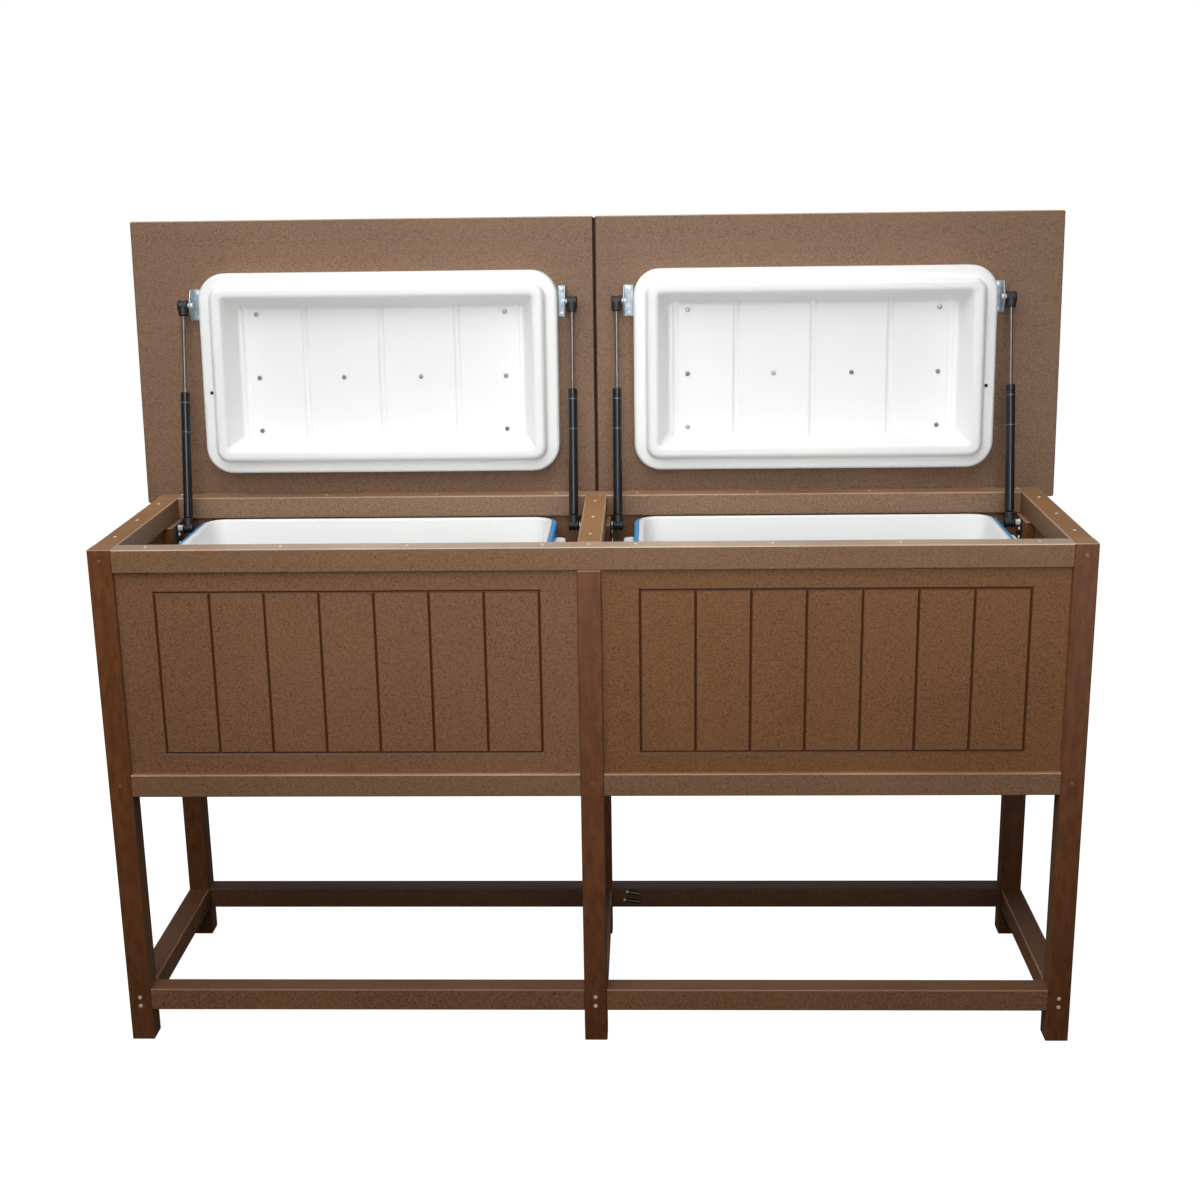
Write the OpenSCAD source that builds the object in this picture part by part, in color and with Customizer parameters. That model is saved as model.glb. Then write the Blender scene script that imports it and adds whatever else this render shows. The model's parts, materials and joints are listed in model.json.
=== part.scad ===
// Raised double ice chest: a square-lumber frame with panelled sides carries two
// drop-in coolers under two hinged lids, and gas struts hold the lids up.
// Millimetres, +Z up. The legs stand on z = 0, left is -X and the front faces -Y.
// The lids are drawn open, leaning back on their fully extended struts.

/* [Frame] */
// Width across the end legs
frame_w = 1578.5; // [1500:0.5:1700]
// Depth across the front and rear legs
frame_d = 434; // [430:1:450]
// Height of the legs and of the top rails
frame_h = 855; // [820:1:950]
// Side of the square lumber
stock = 38.1; // [37:0.1:39]
// Chamfer along the lumber's long edges
edge_ease = 1.4; // [0.5:0.1:3]
// Height of the lower rails' upper face
lower_rail_top = 478; // [440:0.5:500]
// Height of the stretchers' upper face
stretcher_top = 93.4; // [70:0.1:150]

/* [Panels] */
// Thickness of the sheet that the panels and lids are cut from
sheet_t = 19; // [15:0.5:20]
// Depth of the panels behind the legs' outer faces
panel_recess = 9.5; // [6:0.5:10]
// Strips between the grooves of a front or rear panel
strips = 7; // [3:1:9]
// Strips between the grooves of an end panel
end_strips = 3; // [2:1:5]
// Margin beside the grooved field
margin_side = 60.5; // [40:0.5:80]
// Margin above and below the grooved field
margin_ends = 34.5; // [20:0.5:60]
// Width of a V groove at the surface
groove_w = 4.6; // [3:0.2:7]
// Thickness of the floor boards under the coolers
floor_t = 12.7; // [10:0.1:15]

/* [Lids] */
// Angle from closed to open
lid_open = 93.4; // [90:0.2:98]
// Depth of a lid from its rear edge to its front edge
lid_d = 501; // [495:1:520]
// Overhang of a lid past the end legs
lid_side = 29.5; // [10:0.5:40]
// Overhang of a closed lid behind the frame
lid_rear = 19; // [16:0.5:24]
// Gap between the two lids
lid_gap = 1.2; // [1:0.1:6]
// Gap between a closed lid and the frame
lid_rest = 1; // [0.8:0.1:2]
// Radius of a lid's corners
lid_corner = 4; // [3:0.5:15]
// Chamfer along a lid's edges
lid_ease = 1.5; // [0.5:0.1:4]

/* [Lid liners] */
// Width of a liner's flange
liner_w = 632; // [600:1:632]
// Depth of a liner's flange
liner_d = 352; // [330:1:352]
// Distance from the lid's rear edge to the flange
liner_rear = 58; // [58:0.5:60]
// Offset of the left liner from the middle of its bay, towards the middle of the chest
liner_shift_left = 4.5; // [0:0.5:4.5]
// Offset of the right liner from the middle of its bay, towards the middle of the chest
liner_shift_right = 0.5; // [0:0.5:4.5]
// Height of the flange face off the lid
flange_h = 36.5; // [30:0.5:36.5]
// Height of the plug above the flange
plug_h = 19; // [10:0.5:20]
// Flange left uncovered around the plug
flange_step = 23; // [20:0.5:30]
// Rim of the plug around the recess
plug_rim = 19.5; // [12:0.5:25]
// Run of the recess's sloping walls
recess_run = 19; // [10:0.5:24]
// Thickness under the recess
recess_floor = 3; // [2:0.5:6]
// Radius of the grooves across the recess's floor
rib_r = 6; // [4:0.5:8]

/* [Coolers] */
// Width over a cooler's rim
cooler_w = 634; // [620:1:640]
// Depth over a cooler's rim
cooler_d = 352; // [350:1:356]
// Radius of the rim's corners
cooler_corner = 42; // [35:1:50]
// Width of the shell's rim band seen from above
band_w = 8; // [6:0.5:10]
// Height of the shell's rim band
band_h = 40; // [30:1:60]
// Clearance around a closed lid's plug in a cooler's mouth
mouth_gap = 6.5; // [6:0.5:7]
// Narrowing of the shell from its band to its foot, on each side
shell_taper = 16; // [8:1:24]
// Rise of a cooler's rim above the underside of the top rails
cooler_rise = 2; // [0:0.5:2]

/* [Gas struts] */
// Diameter of a strut's tube
tube_dia = 16; // [12:0.5:16]
// Diameter of a strut's rod
rod_dia = 7; // [6:0.5:8]
// Tube from its lower ball to its open end
tube_reach = 240; // [236:0.5:241]
// Width of the sockets on both ends
socket_w = 18; // [14:0.5:18]
// Diameter of the balls
ball_dia = 10; // [8:0.5:11]
// Distance of the inner struts from the middle of the chest
strut_in = 39; // [39:0.5:41]
// Distance of the outer struts from the middle of the end legs
strut_out = 45.5; // [43:0.5:46]
// Distance of the upper balls from the lid's rear edge
ball_reach = 355; // [350:1:357]
// Distance of the upper balls off the lid
ball_off = 28; // [26:0.5:30]
// Height of the lower balls below the frame's top
ball_drop = 46; // [44:0.5:48]

/* [Hidden] */
$fn = 48;
slop = 0.05;
cut = 1;
gap = 0.5;

mid_x = (frame_w - stock) / 2;
bay_w = frame_w / 2 - 1.5 * stock;
bay_x = stock / 2 + bay_w / 2;
rail_z = frame_h - stock;
panel_h = rail_z - lower_rail_top;
inner_d = frame_d - 2 * stock;

knuckle_r = 4;
pin_r = 2;
leaf_t = 2;
leaf_len = 76;
hinge_off = knuckle_r + 0.4;
hinge_pitch = 290;
knuckles = 5;
knuckle_len = leaf_len / knuckles;

lid_w = frame_w / 2 + lid_side - lid_gap / 2;
lid_tail = lid_rear - hinge_off;
function swing_y(y, z, a) = y * cos(a) - z * sin(a);
function swing_z(y, z, a) = y * sin(a) + z * cos(a);
lean_back = hinge_off + swing_y(lid_tail - lid_d, hinge_off + sheet_t, -lid_open);
front_y = -(frame_d + lean_back) / 2;
rear_y = front_y + frame_d;
mid_y = (front_y + rear_y) / 2;
hinge_y = rear_y + hinge_off;
hinge_z = frame_h + lid_rest - hinge_off;
lid_rear_y = hinge_y + lid_tail;
lid_under = frame_h + lid_rest;

plug_w = liner_w - 2 * flange_step;
plug_d = liner_d - 2 * flange_step;
plug_corner = 22;
flange_corner = 47;
screw_x = 221;
screw_mid_x = 69;
screw_y = 103.5;
screw_mid_drop = 9;
rib_pitch = 135.5;
rib_end = 242;
vent_r = 3;

cooler_foot = lower_rail_top + floor_t;
cooler_h = rail_z + cooler_rise - cooler_foot;
mouth_w = plug_w + 2 * mouth_gap;
mouth_d = plug_d + 2 * mouth_gap;
handle_len = 160;
handle_out = 18;
handle_h = 24;
handle_drop = 15;
drain_r = 19;
drain_up = 34;

block_t = 25.4;
block_d = 2 * stock;
block_h = 120;
block_seam = 0.1;
plate_t = 2.5;
ball_y = rear_y - stock - block_d / 2;
ball_z = frame_h - ball_drop;
ball_r = ball_dia / 2;
tube_r = tube_dia / 2;
rod_r = rod_dia / 2;
bore_r = tube_r - 1.5;
socket_r = 9.5;
socket_len = 18;
stud_out = 2.2;
gland_len = 12;
piston_len = 12;
neck_r = 2.6;
top_dy = lid_rear_y - ball_reach - hinge_y;
top_dz = lid_under - ball_off - hinge_z;
top_y = hinge_y + swing_y(top_dy, top_dz, -lid_open);
top_z = hinge_z + swing_z(top_dy, top_dz, -lid_open);
strut_len = norm([top_y - ball_y, top_z - ball_z]);
strut_lean = atan2(top_y - ball_y, top_z - ball_z);
shut_y = hinge_y + top_dy;
shut_z = hinge_z + top_dz;
shut_len = norm([shut_y - ball_y, shut_z - ball_z]);
shut_lean = atan2(shut_y - ball_y, shut_z - ball_z);
stroke = strut_len - shut_len;

hull_fn = 48;
lumber = [0.42, 0.29, 0.19];
board = [0.47, 0.35, 0.27];
white = [0.93, 0.93, 0.91];
blue = [0.25, 0.55, 0.80];
black = [0.07, 0.07, 0.08];
zinc = [0.75, 0.77, 0.80];

// What is drawn for the right half stands mirrored on the left half.
module half(side) {
    if (side < 0) mirror([1, 0, 0]) children();
    else children();
}

// A flat rectangle with chamfered corners, centred.
module eased_rect(w, d, ease) {
    x = w / 2;
    y = d / 2;
    polygon([
        [x - ease, -y], [x, -y + ease], [x, y - ease], [x - ease, y],
        [-x + ease, y], [-x, y - ease], [-x, -y + ease], [-x + ease, -y],
    ]);
}

// A length of square lumber with eased long edges, centred, along Z.
module lumber_bar(length) {
    color(lumber) linear_extrude(length, center = true) eased_rect(stock, stock, edge_ease);
}

module bar_along_x(x, y, top, length) {
    translate([x, y, top - stock / 2]) rotate([0, 90, 0]) lumber_bar(length);
}

module bar_along_y(x, top) {
    translate([x, mid_y, top - stock / 2]) rotate([90, 0, 0]) lumber_bar(inner_d);
}

front_row = front_y + stock / 2;
rear_row = rear_y - stock / 2;

// column is -1, 0 or 1; the middle legs stop under the long top rails.
module leg(column, row) {
    height = column == 0 ? rail_z : frame_h;
    translate([column * mid_x, row, height / 2]) lumber_bar(height);
}

module top_rail_long(row) {
    bar_along_x(0, row, frame_h, frame_w - 2 * stock);
}

module rail_short(column, top) {
    bar_along_y(column * mid_x, top);
}

module bay_rail(side, row, top) {
    bar_along_x(side * bay_x, row, top, bay_w);
}

// A bar with its corner down, which cuts a V groove along Z.
module groove(length, width) {
    side = width / sqrt(2);
    rotate([0, 0, 45]) cube([side, side, length], center = true);
}

// A grooved sheet centred on the origin, its face at y = 0 towards -Y. The grooves
// across the ends are cut a little deeper than the upright ones that run into them.
module grooved_panel(width, height, count) {
    field_w = width - 2 * margin_side;
    field_h = height - 2 * margin_ends;
    end_groove_w = 1.1 * groove_w;
    color(board) difference() {
        translate([-width / 2, 0, -height / 2]) cube([width, sheet_t, height]);
        for (i = [0 : count]) translate([-field_w / 2 + i * field_w / count, 0, 0])
            groove(field_h, groove_w);
        for (end = [-1, 1]) translate([0, 0, end * field_h / 2]) rotate([0, 90, 0])
            groove(field_w + end_groove_w, end_groove_w);
    }
}

module panel_front(side) {
    translate([side * bay_x, front_y + panel_recess, lower_rail_top + panel_h / 2])
        grooved_panel(bay_w, panel_h, strips);
}

module panel_rear(side) {
    translate([side * bay_x, rear_y - panel_recess, lower_rail_top + panel_h / 2])
        rotate([0, 0, 180]) grooved_panel(bay_w, panel_h, strips);
}

module panel_end(side) {
    half(side) translate([frame_w / 2 - panel_recess, mid_y, lower_rail_top + panel_h / 2])
        rotate([0, 0, 90]) grooved_panel(inner_d, panel_h, end_strips);
}

// A board that bridges the front and rear lower rails, with a hole for a drain.
module floor_board(side) {
    depth = frame_d - 2 * (panel_recess + sheet_t);
    half(side) color(board) difference() {
        translate([stock / 2, mid_y - depth / 2, lower_rail_top]) cube([bay_w, depth, floor_t]);
        translate([bay_x, mid_y, lower_rail_top - cut]) cylinder(r = 20, h = floor_t + 2 * cut);
    }
}

// Blocks that carry the struts' feet: two under the divider rail and one inside each end panel.
module strut_blocks() {
    end_in = 2 * bay_x - block_t;
    end_out = frame_w / 2 - panel_recess - sheet_t;
    color(lumber) for (side = [-1, 1]) half(side) {
        translate([block_seam, ball_y - block_d / 2, rail_z - block_h])
            cube([block_t - block_seam, block_d, block_h]);
        translate([end_in, ball_y - block_d / 2, rail_z - block_h])
            cube([end_out - end_in, block_d, block_h]);
    }
}

// Places its children at an inner or outer strut's plane, with +X pointing from the block to the strut.
module strut_plane(side, outer) {
    half(side) {
        if (outer == 1) translate([2 * bay_x - strut_out, 0, 0]) mirror([1, 0, 0]) children();
        else translate([strut_in, 0, 0]) children();
    }
}

// A plate with a ball stud, screwed to its block.
module strut_foot(out) {
    plate_w = 22;
    plate_top = rail_z - 1;
    plate_h = 46;
    translate([-out, ball_y - plate_w / 2, plate_top - plate_h]) cube([plate_t, plate_w, plate_h]);
    translate([plate_t - out, ball_y, ball_z]) rotate([0, 90, 0]) {
        cylinder(r = 5.2, h = out - plate_t - socket_w / 2 - gap, $fn = 6);
        cylinder(r = neck_r, h = out - plate_t);
    }
    translate([0, ball_y, ball_z]) sphere(r = ball_r);
    for (drop = [15, 31]) translate([plate_t - out, ball_y, ball_z - drop])
        rotate([0, 90, 0]) cylinder(r1 = 4.2, r2 = 2.8, h = 2);
}

module strut_feet() {
    color(zinc) for (side = [-1, 1]) {
        strut_plane(side, 0) strut_foot(strut_in - block_t);
        strut_plane(side, 1) strut_foot(strut_out - block_t);
    }
}

// Along a strut's axis, from its lower ball at the origin up +Z.
module strut_axis() {
    translate([0, ball_y, ball_z]) rotate([-strut_lean, 0, 0]) children();
}

// An end fitting: a round head across the ball and a collar that takes the tube or rod.
module socket(collar_r) {
    rotate([0, 90, 0]) cylinder(r = socket_r, h = socket_w, center = true);
    cylinder(r = collar_r, h = socket_len);
}

// The tube is open at its upper end round the rod and holds the piston's bore.
module strut_tube(side, outer) {
    color(black) strut_plane(side, outer) strut_axis() difference() {
        union() {
            socket(tube_r);
            translate([0, 0, socket_len]) cylinder(r = tube_r, h = tube_reach - socket_len);
        }
        sphere(r = ball_r + slop);
        rotate([0, -90, 0]) cylinder(r = neck_r + 1.2, h = socket_w);
        translate([0, 0, socket_len + gland_len])
            cylinder(r = bore_r, h = tube_reach - socket_len - 2 * gland_len);
        translate([0, 0, tube_reach - gland_len - cut]) cylinder(r = rod_r + slop, h = gland_len + 2 * cut);
    }
}

// The rod with its piston, its upper socket and the stud that meets the lid's bracket.
module strut_rod(side, outer) {
    rod_start = tube_reach - gland_len - piston_len - gap;
    color(black) strut_plane(side, outer) strut_axis() {
        translate([0, 0, rod_start]) cylinder(r = rod_r, h = strut_len - socket_len - rod_start);
        translate([0, 0, rod_start]) cylinder(r = bore_r - slop, h = piston_len);
        translate([0, 0, strut_len]) {
            mirror([0, 0, 1]) socket(tube_r - 1);
            rotate([0, 90, 0]) cylinder(r = 4.6, h = socket_w / 2 + stud_out);
        }
    }
}

// A flat outline with round corners, centred.
module round_rect(w, d, r) {
    square([w - 2 * r, d], center = true);
    square([w, d - 2 * r], center = true);
    for (x = [-1, 1], y = [-1, 1]) translate([x * (w / 2 - r), y * (d / 2 - r)]) circle(r = r);
}

// A block whose round-cornered outline changes from its foot to its top.
module tapered(w0, d0, r0, w1, d1, r1, h) {
    skin = 0.01;
    hull($fn = hull_fn) {
        linear_extrude(skin) round_rect(w0, d0, r0, $fn = hull_fn);
        translate([0, 0, h - skin]) linear_extrude(skin) round_rect(w1, d1, r1, $fn = hull_fn);
    }
}

// A round-cornered block whose upper edge is rolled over.
module rolled(w, d, r, h, roll) {
    steps = 5;
    hull() {
        linear_extrude(h - roll) round_rect(w, d, r, $fn = hull_fn);
        for (i = [1 : steps]) {
            a = 90 * i / steps;
            inset = roll * (1 - cos(a));
            translate([0, 0, h - roll]) linear_extrude(roll * sin(a))
                round_rect(w - 2 * inset, d - 2 * inset, r - inset, $fn = hull_fn);
        }
    }
}

module in_cooler(side, z) {
    half(side) translate([bay_x, mid_y, z]) children();
}

// The shell's inside, which the liner fills.
module liner_space() {
    narrow = shell_taper + 8;
    tapered(cooler_w - 2 * band_w - 2 * narrow, cooler_d - 2 * band_w - 2 * narrow, 30,
        cooler_w - 2 * band_w, cooler_d - 2 * band_w, cooler_corner - band_w, cooler_h - 12);
}

module cooler_shell(side) {
    foot_w = cooler_w - 12 - 2 * shell_taper;
    foot_d = cooler_d - 12 - 2 * shell_taper;
    color(blue) in_cooler(side, cooler_foot) difference() {
        union() {
            tapered(foot_w, foot_d, 30, cooler_w - 12, cooler_d - 12, cooler_corner - 6, cooler_h - 3);
            translate([0, 0, cooler_h - band_h]) rolled(cooler_w, cooler_d, cooler_corner, band_h, 4);
            translate([foot_w / 2 - 12, 0, drain_up]) rotate([0, 90, 0]) cylinder(r = drain_r + 5, h = 20);
        }
        translate([0, 0, 12]) liner_space();
        translate([0, 0, cooler_h - cut]) linear_extrude(2 * cut)
            round_rect(cooler_w - 2 * band_w, cooler_d - 2 * band_w, cooler_corner - band_w);
    }
}

module cooler_liner(side) {
    color(white) in_cooler(side, cooler_foot + 12) difference() {
        liner_space();
        translate([0, 0, 30])
            tapered(mouth_w - 44, mouth_d - 44, 30, mouth_w, mouth_d, plug_corner + 2, cooler_h - 42 + slop);
    }
}

// Lift lugs on both ends of each cooler's rim band.
module cooler_handles() {
    tip = 12;
    color(white) for (side = [-1, 1], end = [-1, 1])
        in_cooler(side, rail_z - handle_drop - handle_h) rotate([0, 0, end < 0 ? 180 : 0])
            translate([cooler_w / 2, 0, 0]) linear_extrude(handle_h) intersection() {
                round_rect(2 * handle_out, handle_len, tip);
                translate([0, -handle_len / 2]) square([handle_out, handle_len]);
            }
}

module cooler_drain_plugs() {
    face = cooler_w / 2 - 6 - shell_taper + 8;
    color(white) for (side = [-1, 1]) in_cooler(side, cooler_foot + drain_up)
        translate([face, 0, 0]) rotate([0, 90, 0]) {
            cylinder(r = drain_r, h = 6);
            cylinder(r = drain_r - 5, h = 12);
        }
}

// The hinges stand on the chest's rear face at three places behind each lid.
module hinge_places(side) {
    half(side) for (k = [-1 : 1]) translate([bay_x + k * hinge_pitch, hinge_y, hinge_z]) children();
}

// The k-th knuckle of a hinge, about the pin along X.
module knuckle(k, r) {
    translate([-leaf_len / 2 + k * knuckle_len + gap / 2, 0, 0]) rotate([0, 90, 0])
        cylinder(r = r, h = knuckle_len - gap);
}

module hinge_frame_leaves() {
    leaf_h = 26;
    color(zinc) for (side = [-1, 1]) hinge_places(side) {
        difference() {
            union() {
                translate([-leaf_len / 2, -hinge_off, -leaf_h]) cube([leaf_len, leaf_t, leaf_h]);
                for (k = [0 : 2 : knuckles - 1]) knuckle(k, knuckle_r);
            }
            for (k = [1 : 2 : knuckles - 1])
                translate([-leaf_len / 2 + k * knuckle_len - gap / 2, -hinge_off - cut, -knuckle_r - gap])
                    cube([knuckle_len + gap, 2 * hinge_off, 2 * knuckle_r + gap]);
        }
        rotate([0, 90, 0]) cylinder(r = pin_r, h = leaf_len - gap, center = true);
    }
}

// What follows rides on the lids. It is drawn with y from the lid's rear edge towards its
// front edge and z off its underside, on the closed lid, and then swung open.
module on_lid(side) {
    half(side) translate([0, hinge_y, hinge_z]) rotate([-lid_open, 0, 0])
        translate([0, lid_tail, hinge_off]) rotate([180, 0, 0]) children();
}

// A sheet with eased edges and small round corners.
module lid(side) {
    color(board) on_lid(side) translate([lid_gap / 2 + lid_w / 2, lid_d / 2, -sheet_t / 2]) intersection() {
        linear_extrude(sheet_t, center = true) round_rect(lid_w, lid_d, lid_corner);
        rotate([90, 0, 90]) linear_extrude(lid_w, center = true) eased_rect(lid_d, sheet_t, lid_ease);
        rotate([90, 0, 0]) linear_extrude(lid_d, center = true) eased_rect(lid_w, sheet_t, lid_ease);
    }
}

module at_liner(side) {
    shift = side < 0 ? liner_shift_left : liner_shift_right;
    translate([bay_x - shift, liner_rear + liner_d / 2, 0]) children();
}

// The moulded inner lid: a flange that closes the cooler's rim, a plug that drops into its
// mouth, and a deep recess with sloping walls and cross grooves, screwed flat to the lid.
module lid_liner(side) {
    top = flange_h + plug_h;
    open_w = plug_w - 2 * plug_rim;
    open_d = plug_d - 2 * plug_rim;
    depth = top - recess_floor;
    floor_w = open_w - 2 * recess_run;
    floor_d = open_d - 2 * recess_run;
    color(white) on_lid(side) at_liner(side) difference() {
        union() {
            rolled(liner_w, liner_d, flange_corner, flange_h, 5);
            translate([0, 0, flange_h - cut])
                rolled(plug_w, plug_d, plug_corner, plug_h + cut, 5);
        }
        translate([0, 0, recess_floor])
            tapered(floor_w, floor_d, 4, open_w, open_d, 8, depth + slop);
        for (x = [-rib_end, -rib_pitch, 0, rib_pitch, rib_end])
            translate([x, 0, recess_floor + rib_r * 0.55]) rotate([90, 0, 0])
                cylinder(r = rib_r, h = floor_d - 2, center = true);
        translate([liner_w / 2 - flange_step / 2, -34, flange_h - 8]) cylinder(r = vent_r, h = 8 + cut);
    }
}

module liner_screws(side) {
    places = concat(
        [for (x = [-1, 1], y = [-1, 1]) [x * screw_x, y * screw_y]],
        [for (x = [-1, 1], at = [screw_x, screw_mid_x]) [x * at, -screw_mid_drop]]
    );
    color(zinc) on_lid(side) at_liner(side) for (p = places)
        translate([p[0], p[1], recess_floor]) cylinder(r1 = 4.6, r2 = 3, h = 2.2);
}

// An angle plate with a pointed upright that faces the strut's upper stud.
module lid_bracket(foot_w) {
    half_len = 27;
    upright_t = 2;
    face = socket_w / 2 + stud_out + gap;
    translate([face, ball_reach - half_len, 0]) cube([foot_w, 2 * half_len, upright_t]);
    translate([face, ball_reach, 0]) rotate([90, 0, 90]) linear_extrude(upright_t)
        polygon([[-half_len, 0], [half_len, 0], [half_len, 5], [6, ball_off + 6], [-6, ball_off + 6], [-half_len, 5]]);
    translate([face + upright_t, ball_reach, ball_off]) rotate([0, 90, 0]) cylinder(r = 4.6, h = 3.5, $fn = 6);
    for (y = [-20, 20]) translate([face + upright_t + 5.5, ball_reach + y, upright_t])
        cylinder(r1 = 3.6, r2 = 2.8, h = 2);
}

module lid_brackets(side) {
    color(zinc) on_lid(side) {
        translate([strut_in, 0, 0]) lid_bracket(12.5);
        translate([2 * bay_x - strut_out, 0, 0]) mirror([1, 0, 0]) lid_bracket(11.5);
    }
}

module lid_hinge_leaves(side) {
    reach = lid_tail - 1;
    color(zinc) half(side) translate([0, hinge_y, hinge_z]) rotate([-lid_open, 0, 0])
        for (k = [-1 : 1]) translate([bay_x + k * hinge_pitch, 0, 0]) difference() {
            union() {
                translate([-leaf_len / 2, 0, hinge_off - leaf_t]) cube([leaf_len, reach, leaf_t]);
                for (i = [1 : 2 : knuckles - 1]) {
                    knuckle(i, knuckle_r);
                    translate([-leaf_len / 2 + i * knuckle_len + gap / 2, 0, knuckle_r - leaf_t])
                        cube([knuckle_len - gap, knuckle_r, leaf_t]);
                }
            }
            for (i = [0 : 2 : knuckles - 1])
                translate([-leaf_len / 2 + i * knuckle_len - gap / 2, -hinge_off, -hinge_off])
                    cube([knuckle_len + gap, hinge_off + knuckle_r + gap, 2 * hinge_off + cut]);
            rotate([0, 90, 0]) cylinder(r = pin_r + slop, h = leaf_len + 2 * cut, center = true);
        }
}

leg(-1, front_row);  // leg_front_left
leg(0, front_row);  // leg_front_center
leg(1, front_row);  // leg_front_right
leg(-1, rear_row);  // leg_rear_left
leg(0, rear_row);  // leg_rear_center
leg(1, rear_row);  // leg_rear_right
top_rail_long(front_row);  // top_rail_front
top_rail_long(rear_row);  // top_rail_rear
rail_short(-1, frame_h);  // top_rail_left
rail_short(1, frame_h);  // top_rail_right
rail_short(0, frame_h);  // top_rail_center
bay_rail(-1, front_row, lower_rail_top);  // lower_rail_front_left
bay_rail(1, front_row, lower_rail_top);  // lower_rail_front_right
bay_rail(-1, rear_row, lower_rail_top);  // lower_rail_rear_left
bay_rail(1, rear_row, lower_rail_top);  // lower_rail_rear_right
rail_short(-1, lower_rail_top);  // lower_rail_left
rail_short(1, lower_rail_top);  // lower_rail_right
rail_short(0, lower_rail_top);  // lower_rail_center
bay_rail(-1, front_row, stretcher_top);  // stretcher_front_left
bay_rail(1, front_row, stretcher_top);  // stretcher_front_right
bay_rail(-1, rear_row, stretcher_top);  // stretcher_rear_left
bay_rail(1, rear_row, stretcher_top);  // stretcher_rear_right
rail_short(-1, stretcher_top);  // stretcher_left
rail_short(1, stretcher_top);  // stretcher_right
rail_short(0, stretcher_top);  // stretcher_center
panel_front(-1);  // panel_front_left
panel_front(1);  // panel_front_right
panel_rear(-1);  // panel_rear_left
panel_rear(1);  // panel_rear_right
panel_end(-1);  // panel_left
panel_end(1);  // panel_right
floor_board(-1);  // floor_board_left
floor_board(1);  // floor_board_right
strut_blocks();
strut_feet();
strut_tube(-1, 1);  // strut_tube_left_outer
strut_tube(-1, 0);  // strut_tube_left_inner
strut_tube(1, 0);  // strut_tube_right_inner
strut_tube(1, 1);  // strut_tube_right_outer
strut_rod(-1, 1);  // strut_rod_left_outer
strut_rod(-1, 0);  // strut_rod_left_inner
strut_rod(1, 0);  // strut_rod_right_inner
strut_rod(1, 1);  // strut_rod_right_outer
cooler_shell(-1);  // cooler_shell_left
cooler_shell(1);  // cooler_shell_right
cooler_liner(-1);  // cooler_liner_left
cooler_liner(1);  // cooler_liner_right
cooler_handles();
cooler_drain_plugs();
hinge_frame_leaves();
lid(-1);  // lid_left
lid(1);  // lid_right
lid_liner(-1);  // lid_liner_left
lid_liner(1);  // lid_liner_right
lid_hinge_leaves(-1);  // lid_hinge_leaves_left
lid_hinge_leaves(1);  // lid_hinge_leaves_right
lid_brackets(-1);  // lid_brackets_left
lid_brackets(1);  // lid_brackets_right
liner_screws(-1);  // liner_screws_left
liner_screws(1);  // liner_screws_right
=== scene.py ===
# Raised double ice chest: moulded brown sheet and lumber, white coolers, gas struts.
import math
import bpy
import bmesh
from mathutils import Matrix, Vector
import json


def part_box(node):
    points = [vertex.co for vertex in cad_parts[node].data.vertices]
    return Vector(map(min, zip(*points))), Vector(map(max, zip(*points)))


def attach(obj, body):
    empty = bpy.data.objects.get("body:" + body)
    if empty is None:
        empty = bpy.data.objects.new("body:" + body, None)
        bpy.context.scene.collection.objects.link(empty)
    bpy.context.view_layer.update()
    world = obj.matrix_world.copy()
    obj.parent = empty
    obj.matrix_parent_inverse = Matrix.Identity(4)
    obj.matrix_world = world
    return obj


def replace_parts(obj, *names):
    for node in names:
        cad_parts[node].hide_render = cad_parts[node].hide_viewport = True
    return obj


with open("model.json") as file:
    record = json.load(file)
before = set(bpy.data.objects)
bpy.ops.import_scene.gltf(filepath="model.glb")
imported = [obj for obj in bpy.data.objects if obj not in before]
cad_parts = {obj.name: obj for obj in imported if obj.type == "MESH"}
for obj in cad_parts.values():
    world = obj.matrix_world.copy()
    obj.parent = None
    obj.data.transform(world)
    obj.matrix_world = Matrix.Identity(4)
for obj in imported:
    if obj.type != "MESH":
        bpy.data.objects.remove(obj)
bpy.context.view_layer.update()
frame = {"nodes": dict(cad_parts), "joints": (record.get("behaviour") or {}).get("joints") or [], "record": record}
nodes = frame["nodes"]
joints = {joint["name"]: joint for joint in frame["joints"]}
mm = 0.001
sides = {"left": -1, "right": 1}
print("frame loaded:", len(nodes), "nodes")


# colours and node helpers
def tone(red, green, blue):
    # a colour as a picture shows it, turned into a light value
    parts = []
    for value in (red, green, blue):
        value = value / 255
        parts.append(value / 12.92 if value <= 0.04045 else ((value + 0.055) / 1.055) ** 2.4)
    return (*parts, 1.0)


def newGroup(name, inputs, outputs):
    group = bpy.data.node_groups.new(name, "ShaderNodeTree")
    for label, kind, value in inputs:
        socket = group.interface.new_socket(name=label, in_out="INPUT", socket_type=kind)
        if value is not None:
            socket.default_value = value
    for label, kind in outputs:
        group.interface.new_socket(name=label, in_out="OUTPUT", socket_type=kind)
    return group, group.nodes.new("NodeGroupInput").outputs, group.nodes.new("NodeGroupOutput").inputs


def addNode(tree, kind, values=None, **settings):
    node = tree.nodes.new(kind)
    for key, value in settings.items():
        setattr(node, key, value)
    for key, value in (values or {}).items():
        if isinstance(value, bpy.types.NodeSocket):
            tree.links.new(value, node.inputs[key])
        else:
            node.inputs[key].default_value = value
    return node


def mathNode(tree, operation, first, second=0.0, clamp=False):
    return addNode(tree, "ShaderNodeMath", {0: first, 1: second}, operation=operation, use_clamp=clamp).outputs[0]


def noiseNode(tree, vector, scale, detail=0.0, roughness=0.5):
    return addNode(tree, "ShaderNodeTexNoise", {"Vector": vector, "Scale": scale, "Detail": detail,
                                                "Roughness": roughness}).outputs[0]


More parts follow.
